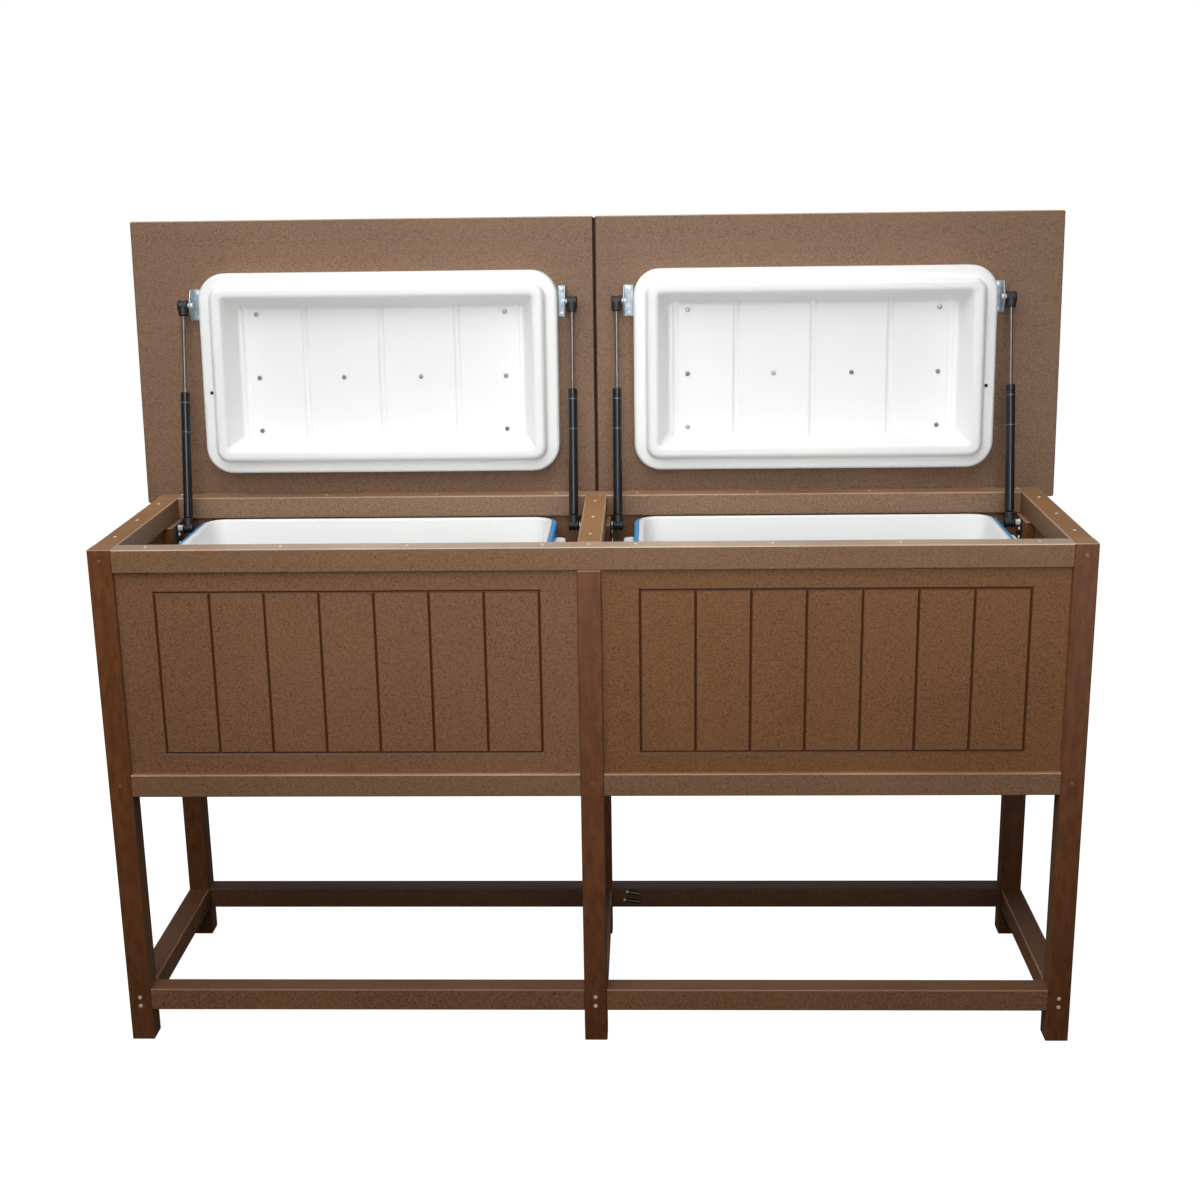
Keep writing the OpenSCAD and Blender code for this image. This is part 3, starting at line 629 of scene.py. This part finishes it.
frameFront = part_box("leg_front_left")[0].y
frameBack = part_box("leg_rear_left")[1].y
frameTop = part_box("top_rail_front")[1].z
frameScrews = {"radius": 3.4 * mm, "height": 1.0 * mm, "topRadius": 2.9 * mm, "topHeight": 0.7 * mm, "low": 0.1,
               "legs": 770.2, "legHeights": (837, 459, 78, 62.5), "middleHeights": (460, 80, 63.5), "railHeight": 835,
               "railSpots": (73, 287, 486), "railDepths": (20, 415), "cornerSpots": ((701, 20), (751, 428)),
               "sides": 772, "sideDepths": (94, 218, 350), "middleDepths": (20, 92, 218, 347)}


def setFrameScrews():
    s = frameScrews
    upright, flat = [], []
    for face, direction in ((frameFront, (0, -1, 0)), (frameBack, (0, 1, 0))):
        upright += [((x * s["legs"] * mm, face, z * mm), direction) for x in (-1, 1) for z in s["legHeights"]]
        upright += [((0, face, z * mm), direction) for z in s["middleHeights"]]
    upright.append(((0, frameFront, s["railHeight"] * mm), (0, -1, 0)))
    for x in (-1, 1):
        flat += [(x * far, deep) for far in s["railSpots"] for deep in s["railDepths"]]
        flat += [(x * far, deep) for far, deep in s["cornerSpots"]]
        flat += [(x * s["sides"], deep) for deep in s["sideDepths"]]
    flat += [(0, deep) for deep in s["middleDepths"]]
    for name, material, low in (("frameScrews", screwBrown, False), ("lowScrews", screwTan, True)):
        places = [facing(Vector(point), direction) for point, direction in upright if (point[2] < s["low"]) == low]
        screwSet(name, places, "frame", s["radius"], s["height"], material)
    places = [Matrix.Translation((x * mm, frameFront + deep * mm, frameTop)) for x, deep in flat]
    screwSet("topScrews", places, "frame", s["topRadius"], s["topHeight"], screwTan)
    print("frame screws set:", len(upright) + len(flat))


setFrameScrews()


# coolers
coolerSize = {"centre": 385.1 * mm, "width": 634 * mm, "depth": 352 * mm, "corner": 42 * mm, "band": 40 * mm,
              "bandOut": 6 * mm, "lip": 8 * mm, "under": 1.8 * mm, "taper": 16 * mm, "footCorner": 30 * mm,
              "wall": 8 * mm, "insideCorner": 24 * mm, "base": 12 * mm, "linerBase": 13 * mm, "linerIn": 12 * mm,
              "linerGap": 0.3 * mm, "linerRim": 6 * mm, "linerUnder": 0.1 * mm, "mouth": (599 * mm, 319 * mm),
              "mouthCorner": 27 * mm, "floorIn": 22 * mm, "floorCorner": 30 * mm, "floorHeight": 42 * mm,
              "shellRolls": ((2, 2 * mm, 3), (3, 4 * mm, 5), (4, 1.5 * mm, 3)),
              "linerRolls": ((2, 2 * mm, 3), (3, 4 * mm, 4), (4, 12 * mm, 5))}
coolerMid = (frameFront + frameBack) / 2
shellLow, shellHigh = (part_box("cooler_shell_left")[k].z for k in (0, 1))


def makeCooler(side):
    s = coolerSize
    tall = shellHigh - shellLow
    inLip = s["corner"] - s["lip"]

    def ring(size, inward, corner, height):
        return (size[0] - 2 * inward, size[1] - 2 * inward, corner, height)

    band = (s["width"], s["depth"])
    foot = ring(band, s["bandOut"] + s["taper"], 0, 0)
    inner = ring(band, s["lip"] + s["linerGap"], 0, 0)
    shell = loft([ring(foot, 0, s["footCorner"], 0),
                  ring(band, s["bandOut"], s["corner"] - s["bandOut"], tall - s["band"]),
                  ring(band, 0, s["corner"], tall - s["band"]),
                  ring(band, 0, s["corner"], tall - s["under"]),
                  ring(band, s["lip"], inLip, tall - s["under"]),
                  ring(foot, s["wall"], s["insideCorner"], s["base"])], s["shellRolls"])
    liner = loft([ring(foot, s["linerIn"], s["insideCorner"], s["linerBase"]),
                  ring(inner, 0, inLip, tall - s["linerRim"]),
                  ring(inner, 0, inLip, tall - s["linerUnder"]),
                  ring(s["mouth"], 0, s["mouthCorner"], tall - s["linerUnder"]),
                  ring(s["mouth"], s["floorIn"], s["floorCorner"], s["floorHeight"])], s["linerRolls"])
    place = Matrix.Translation((sides[side] * s["centre"], coolerMid, shellLow))
    for bm in (shell, liner):
        bmesh.ops.transform(bm, matrix=place, verts=bm.verts)
    piece = finishPiece(shell, "coolerShellMoulding_" + side, coolerBlue, "frame", sharp=40)
    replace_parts(piece, "cooler_shell_" + side)
    piece = finishPiece(liner, "coolerLinerMoulding_" + side, linerWhite, "frame", sharp=40)
    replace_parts(piece, "cooler_liner_" + side)


for side in sides:
    makeCooler(side)
plasticEasing = {"cooler_handles": (2.5 * mm, 3), "cooler_drain_plugs": (1.2 * mm, 2)}
for nodeName, (width, segments) in plasticEasing.items():
    dress(nodeName, linerWhite, width, segments=segments)
print("coolers made")


# struts, turned on a lathe and laid along each strut's own line
strutSize = {"reach": 240 * mm, "tube": 8 * mm, "bore": 3.8 * mm, "rod": 3.5 * mm, "head": 9.5 * mm,
             "headWidth": 18 * mm, "neck": 18 * mm, "length": 391.494 * mm, "overlap": 14 * mm,
             "bands": (170 * mm, 222 * mm), "bandHalf": 0.7 * mm, "bandProud": 0.12 * mm, "bandDeep": 0.3 * mm,
             "stud": 4.4 * mm, "studTop": 4.0 * mm}


def lathed(profile, steps=28):
    # spins (radius, height) points round Z into a closed body
    bm = bmesh.new()
    verts = [bm.verts.new((max(radius, 0.0), 0, height)) for radius, height in profile]
    edges = [bm.edges.new(pair) for pair in zip(verts, verts[1:])]
    bmesh.ops.spin(bm, geom=verts + edges, cent=(0, 0, 0), axis=(0, 0, 1), angle=math.tau, steps=steps, use_merge=True)
    bmesh.ops.remove_doubles(bm, verts=bm.verts, dist=1e-7)
    return bm


def joinInto(target, source, place):
    # adds one bmesh to another at a placement
    bmesh.ops.recalc_face_normals(source, faces=source.faces)
    bmesh.ops.transform(source, matrix=place, verts=source.verts)
    carrier = toMesh(source, "carrier")
    target.from_mesh(carrier)
    bpy.data.meshes.remove(carrier)


def sideways(sign):
    # turns +Z to the right for 1 and to the left for -1
    return Matrix.Rotation(sign * math.pi / 2, 4, "Y")


def turnedPiece(name, parts, material, body):
    bm = bmesh.new()
    for part, place in parts:
        joinInto(bm, part, place)
    return finishPiece(bm, name, material, body, sharp=50)


def socketHead(place, inward):
    # a ball socket: a barrel across the ball with ribbed ends, and a collar for the tube or rod
    s = strutSize
    wide, far = s["head"], s["headWidth"] / 2
    half = [(0, far), (wide - 1.6 * mm, far), (wide - 0.3 * mm, far - 0.8 * mm), (wide, far - 2.2 * mm),
            (wide, far - 3.4 * mm), (wide - 1.0 * mm, far - 3.9 * mm)]
    barrel = lathed([(radius, -height) for radius, height in half] + half[::-1], 32)
    collar = lathed([(0, 2 * mm), (8.9 * mm, 2 * mm), (8.9 * mm, 11.5 * mm), (8.2 * mm, 12.3 * mm),
                     (8.2 * mm, 14.2 * mm), (8.6 * mm, 14.8 * mm), (8.4 * mm, s["neck"] - 1.2 * mm),
                     (7.2 * mm, s["neck"]), (0, s["neck"])], 32)
    return [(barrel, place @ sideways(1)), (collar, place @ Matrix.Scale(inward, 4, axisZ))]


def makeStrut(name):
    s = strutSize
    key = name.replace("strut_tube_", "")
    swing, slide = joints["strut_swing_" + key], joints["strut_slide_" + key]
    # the lathe's X must stay across the chest
    lean = Matrix.Rotation(-math.atan2(slide["axis"][1], slide["axis"][2]), 4, "X")
    line = Matrix.Translation(Vector(swing["pos_m"])) @ lean
    top = line @ Matrix.Translation((0, 0, s["length"]))
    tubeBody, rodBody = "tube_" + key, "rod_" + key
    low, high, radius = s["neck"], s["reach"], s["tube"]
    ring = radius - 0.5 * mm
    tube = lathed([(s["bore"], high - 6 * mm), (s["bore"], high - 0.6 * mm), (4.9 * mm, high), (6.8 * mm, high),
                   (7.6 * mm, high - 0.9 * mm), (radius, high - 2.2 * mm), (radius, high - 11 * mm),
                   (ring, high - 11.6 * mm), (ring, high - 12.8 * mm), (radius, high - 13.4 * mm),
                   (radius, low + 3 * mm), (7.4 * mm, low + 1 * mm), (6.4 * mm, low), (0, low)], 36)
    piece = turnedPiece("strutTubeTurned_" + key, [(tube, line)], tubeBlack, tubeBody)
    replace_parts(piece, name)
    inner, outer, half = radius - s["bandDeep"], radius + s["bandProud"], s["bandHalf"]
    bands = [lathed([(inner, at - half), (outer, at - half), (outer, at + half), (inner, at + half),
                     (inner, at - half)], 36) for at in s["bands"]]
    turnedPiece("tubeBands_" + key, [(band, line) for band in bands], bandSteel, tubeBody)
    turnedPiece("lowerSocket_" + key, socketHead(line, 1), socketBlack, tubeBody)
    start, end = high - s["overlap"], s["length"] - s["neck"]
    rod = lathed([(0, start), (s["rod"], start), (s["rod"], end), (0, end)], 24)
    piece = turnedPiece("strutRodTurned_" + key, [(rod, line)], rodDark, rodBody)
    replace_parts(piece, "strut_rod_" + key)
    turnedPiece("upperSocket_" + key, socketHead(top, -1), socketBlack, rodBody)
    outward = 1 if ("right" in key) == ("inner" in key) else -1
    far = s["headWidth"] / 2
    stud = lathed([(0, far - 3 * mm), (s["stud"], far - 3 * mm), (s["stud"], far + 1.8 * mm),
                   (s["studTop"], far + 2.1 * mm), (0, far + 2.1 * mm)], 24)
    turnedPiece("ballStud_" + key, [(stud, top @ sideways(outward))], studBright, rodBody)


for name in [n for n in nodes if n.startswith("strut_tube_")]:
    makeStrut(name)

# the lids' brackets: an angle plate beside each strut, its foot reaching to the liner's flange
bracketSize = {"face": 11.7 * mm, "reach": 355 * mm, "half": 27 * mm, "thick": 2 * mm, "end": 25 * mm, "peak": 34 * mm,
               "peakHalf": 8 * mm, "ball": 28 * mm, "screws": 21 * mm, "beside": 0.4 * mm, "easing": 0.5 * mm,
               "boss": ((0, 0), (4.6 * mm, 0), (4.6 * mm, 2.6 * mm), (3.8 * mm, 3.4 * mm), (0, 3.4 * mm)),
               "screw": (3.6 * mm, 1.8 * mm)}


def slab(bm, corners, start, run):
    # a flat plate: corner points, pushed along a direction, its edges eased
    part = bmesh.new()
    face = part.faces.new([part.verts.new(Vector(corner) + start) for corner in corners])
    pushed = bmesh.ops.extrude_face_region(part, geom=[face])["geom"]
    bmesh.ops.translate(part, vec=run, verts=[vert for vert in pushed if isinstance(vert, bmesh.types.BMVert)])
    bmesh.ops.recalc_face_normals(part, faces=part.faces)
    roundEdges(part, bracketSize["easing"], 2)
    joinInto(bm, part, Matrix())


def makeBrackets(side):
    s = bracketSize
    middle, half = linerSize["centre"][side], linerSize["width"] / 2
    along = Vector((0, s["reach"], 0))
    plates, studs, heads = bmesh.new(), bmesh.new(), []
    for key, sign, edge in (("inner", 1, middle - half), ("outer", -1, middle + half)):
        face = abs(joints["strut_swing_%s_%s" % (side, key)]["pos_m"][0]) + sign * s["face"]
        foot = edge - sign * s["beside"]
        slab(plates, [(face, -s["half"], 0), (foot, -s["half"], 0), (foot, s["half"], 0), (face, s["half"], 0)],
             along, Vector((0, 0, s["thick"])))
        slab(plates, [(face, -s["half"], 0), (face, s["half"], 0), (face, s["half"], s["end"]),
                      (face, s["peakHalf"], s["peak"]), (face, -s["peakHalf"], s["peak"]),
                      (face, -s["half"], s["end"])], along, Vector((sign * s["thick"], 0, 0)))
        place = Matrix.Translation((face + sign * s["thick"], s["reach"], s["ball"]))
        joinInto(studs, lathed(s["boss"], 6), place @ sideways(sign))
        heads += [((face + foot) / 2 + sign * mm, s["reach"] + y * s["screws"], s["thick"]) for y in (-1, 1)]
    for bm, name, material in ((plates, "bracketPlates_", zincBright), (studs, "bracketBosses_", studBright)):
        bmesh.ops.transform(bm, matrix=onLid(0) @ Matrix.Scale(sides[side], 4, axisX), verts=bm.verts)
        piece = finishPiece(bm, name + side, material, "lid_" + side, sharp=40)
        if bm is plates:
            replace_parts(piece, "lid_brackets_" + side)
    places = [onLid(0) @ Matrix.Translation((sides[side] * x, y, z)) for x, y, z in heads]
    screwSet("bracketScrews_" + side, places, "lid_" + side, *s["screw"], studBright)


for side in sides:
    makeBrackets(side)


# the struts' feet: a plate on its block, painted near black as shade, and a hexagonal stud and two screws painted near
# white as highlights
footSize = {"width": 22 * mm, "height": 46 * mm, "below": 1 * mm, "thick": 2.5 * mm, "hex": 5.2 * mm, "hexTop": 0.85,
            "neck": 2.6 * mm, "block": 25.4 * mm, "bayEnd": 770.2 * mm, "flange": 6.6 * mm, "gap": 0.5 * mm,
            "drops": (11.5 * mm, 27.5 * mm), "screw": (3.9 * mm, 2 * mm)}


def makeFoot(key, plates, studs):
    s = footSize
    ball = Vector(joints["strut_swing_" + key]["pos_m"])
    side = -1 if "left" in key else 1
    away = side if "inner" in key else -side
    wall = side * s["block"] if "inner" in key else side * (s["bayEnd"] - s["block"])
    face = wall + away * s["thick"]
    gap = abs(ball.x - wall)
    half = s["width"] / 2
    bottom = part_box("top_rail_front")[0].z - s["below"] - s["height"]
    slab(plates, [(0, -half, 0), (0, half, 0), (0, half, s["height"]), (0, -half, s["height"])],
         Vector((wall, ball.y, bottom)), Vector((away * s["thick"], 0, 0)))
    lay = Matrix.Translation((face, ball.y, ball.z)) @ sideways(away)
    reach = gap - s["thick"] - strutSize["headWidth"] / 2 - s["gap"]
    hexagon = [(0, 0), (s["hex"], 0), (s["hex"], reach - 0.6 * mm), (s["hex"] * s["hexTop"], reach), (0, reach)]
    flange = [(0, 0), (s["flange"], 0), (s["flange"], 1 * mm), (0, 1.3 * mm)]
    neck = [(0, reach - 1 * mm), (s["neck"], reach - 1 * mm), (s["neck"], gap - s["thick"]), (0, gap - s["thick"])]
    for profile, steps in ((hexagon, 6), (flange, 24), (neck, 20)):
        joinInto(studs, lathed(profile, steps), lay)
    for drop in s["drops"]:
        panHead(studs, Matrix.Translation((face, ball.y, ball.z - drop)) @ sideways(away), *s["screw"])


footPlates, footStuds = bmesh.new(), bmesh.new()
for key in ("left_outer", "left_inner", "right_inner", "right_outer"):
    makeFoot(key, footPlates, footStuds)
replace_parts(finishPiece(footPlates, "footPlates", footSteel, "frame", sharp=40), "strut_feet")
finishPiece(footStuds, "footStuds", studBright, "frame", sharp=40)
for nodeName in ("hinge_frame_leaves", "lid_hinge_leaves_left", "lid_hinge_leaves_right"):
    nodes[nodeName].material_slots[0].material = hingePaint
print("struts and brackets made")


# pocket screws in the rear stretcher, each a slot painted dark as shade with its screw lying in it
pocket = {"width": 8.5 * mm, "deep": 0.4 * mm, "ends": 0.49, "slotProud": 0.15 * mm, "shank": 1.1 * mm,
          "shankFrom": 0.15, "shankRun": 0.8, "shankProud": 0.45 * mm, "headProud": 0.35 * mm,
          "headFacing": (0.3, -0.9, 0.2), "head": (2.8 * mm, 1.2 * mm),
          "spots": (((48, 87.5), (73, 83)), ((43, 70.9), (74, 66.2)))}


def makePocket(count, start, end):
    s = pocket
    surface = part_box("stretcher_rear_right")[0].y

    def spot(place, proud):
        return Vector((place[0] * mm, surface - proud, place[1] * mm))

    run = spot(end, 0) - spot(start, 0)
    bm = bmesh.new()
    made = bmesh.ops.create_cube(bm, size=1.0)["verts"]
    bmesh.ops.scale(bm, vec=(run.length, s["deep"], s["width"]), verts=made)
    ends = [edge for edge in bm.edges if abs((edge.verts[0].co - edge.verts[1].co).normalized().y) > 0.9]
    bevel(bm, ends, s["width"] * s["ends"], 6)
    middle = (spot(start, s["slotProud"]) + spot(end, s["slotProud"])) / 2
    along = Matrix.Translation(middle) @ Matrix.Rotation(-math.atan2(run.z, run.x), 4, "Y")
    bmesh.ops.transform(bm, matrix=along, verts=bm.verts)
    finishPiece(bm, "pocket_%d" % count, screwShadow, "frame")
    length = run.length * s["shankRun"]
    shank = lathed([(0, 0), (s["shank"], 0), (s["shank"], length), (0, length)], 12)
    place = facing(spot(start, s["shankProud"]) + run * s["shankFrom"], run)
    turnedPiece("pocketShank_%d" % count, [(shank, place)], screwSteel, "frame")
    place = facing(spot(start, s["headProud"]), s["headFacing"])
    screwSet("pocketScrew_%d" % count, [place], "frame", *s["head"], studBright if count else screwTan)


for count, (start, end) in enumerate(pocket["spots"]):
    makePocket(count, start, end)


# floor, light and camera
studio = {"floor": 0.3, "bounce": 0.14, "glow": 1.0, "world": 0.02, "gloss": 0.15, "size": 60, "roughness": 0.9,
          "lamps": {"key": (57, (3.0, 2.0), (-0.7, -1.9, 3.0), (0, 0.1, 0.8), 180),
                    "overhead": (17.5, (2.6, 1.2), (0, -0.2, 3.0), (0, 0, 0.8), 180),
                    "face": (3.6, (2.6, 1.0), (0.1, -3.0, 1.75), (0, 0.15, 1.1), 45),
                    "low": (0.85, (2.0, 0.5), (0.6, -2.6, 0.45), (0.35, 0.15, 0.8), 45),
                    "back": (13, (2.6, 1.2), (0, 3.3, 1.3), (0, 0.2, 0.8), 60)}}


def seenDirectly(tree):
    # whether a ray comes from the camera, also through glass, and whether it is a reflection
    rays = addNode(tree, "ShaderNodeLightPath").outputs
    return mathNode(tree, "MAXIMUM", rays["Is Camera Ray"], rays["Is Transmission Ray"]), rays["Is Glossy Ray"]


def makeFloor():
    # white to the camera, a dim grey to everything that it lights
    bm = bmesh.new()
    bmesh.ops.create_grid(bm, x_segments=1, y_segments=1, size=studio["size"])
    floor = placeObject("studioFloor", toMesh(bm, "studioFloor"))
    material, tree, shader = newMaterial("studioFloorWhite")
    shader.inputs["Roughness"].default_value = studio["roughness"]
    shader.inputs["Specular IOR Level"].default_value = 0.0
    shader.inputs["Emission Color"].default_value = (1, 1, 1, 1)
    seen = seenDirectly(tree)[0]
    tree.links.new(mathNode(tree, "MULTIPLY", seen, studio["glow"]), shader.inputs["Emission Strength"])
    grey = blend(tree, seen, (studio["bounce"],) * 3 + (1,), (studio["floor"],) * 3 + (1,))
    tree.links.new(grey, shader.inputs["Base Color"])
    floor.data.materials.append(material)


def makeWorld():
    world = bpy.data.worlds.new("studioWorld")
    bpy.context.scene.world = world
    world.use_nodes = True
    tree = world.node_tree
    seen, glossy = seenDirectly(tree)
    background = tree.nodes["Background"]
    background.inputs["Color"].default_value = (1, 1, 1, 1)
    strength = spread(tree, glossy, 0, 1, studio["world"], studio["gloss"])
    tree.links.new(mathNode(tree, "MAXIMUM", strength, seen), background.inputs["Strength"])


def addSoftbox(name, power, size, spot, aim, beam):
    light = bpy.data.lights.new(name, "AREA")
    light.shape = "RECTANGLE"
    light.energy = power
    light.size, light.size_y = size
    light.spread = math.radians(beam)
    lamp = placeObject(name, light)
    lamp.location = spot
    lamp.rotation_euler = (Vector(aim) - Vector(spot)).to_track_quat("-Z", "Y").to_euler()
    lamp.visible_glossy = name != "backLight"  # its glare would whiten the stretchers' tops


makeFloor()
makeWorld()
for name, values in studio["lamps"].items():
    addSoftbox(name + "Light", *values)
print("studio lit")

view = {"place": (100.12, -2567.5, 1471.5), "yaw": -1.858, "pitch": 15.281, "roll": -0.824, "focal": 1698.76,
        "pixels": 1200, "sensor": 36, "far": 200}
yaw, pitch, roll = (math.radians(view[key]) for key in ("yaw", "pitch", "roll"))
forward = Vector((math.sin(yaw) * math.cos(pitch), math.cos(yaw) * math.cos(pitch), -math.sin(pitch)))
level = Vector((math.cos(yaw), -math.sin(yaw), 0))
upright = level.cross(forward)
rightward = level * math.cos(roll) + upright * math.sin(roll)
upward = upright * math.cos(roll) - level * math.sin(roll)
lens = bpy.data.cameras.new("photoCamera")
lens.sensor_fit = "HORIZONTAL"
lens.sensor_width = view["sensor"]
lens.lens = view["focal"] * view["sensor"] / view["pixels"]
lens.clip_end = view["far"]
camera = placeObject("photoCamera", lens)
camera.matrix_world = Matrix((rightward, upward, -forward)).transposed().to_4x4()
camera.location = Vector(view["place"]) * mm + Vector((0, frameFront, 0))
bpy.context.scene.camera = camera
bpy.context.scene.view_settings.view_transform = "Standard"

print("scene ready")
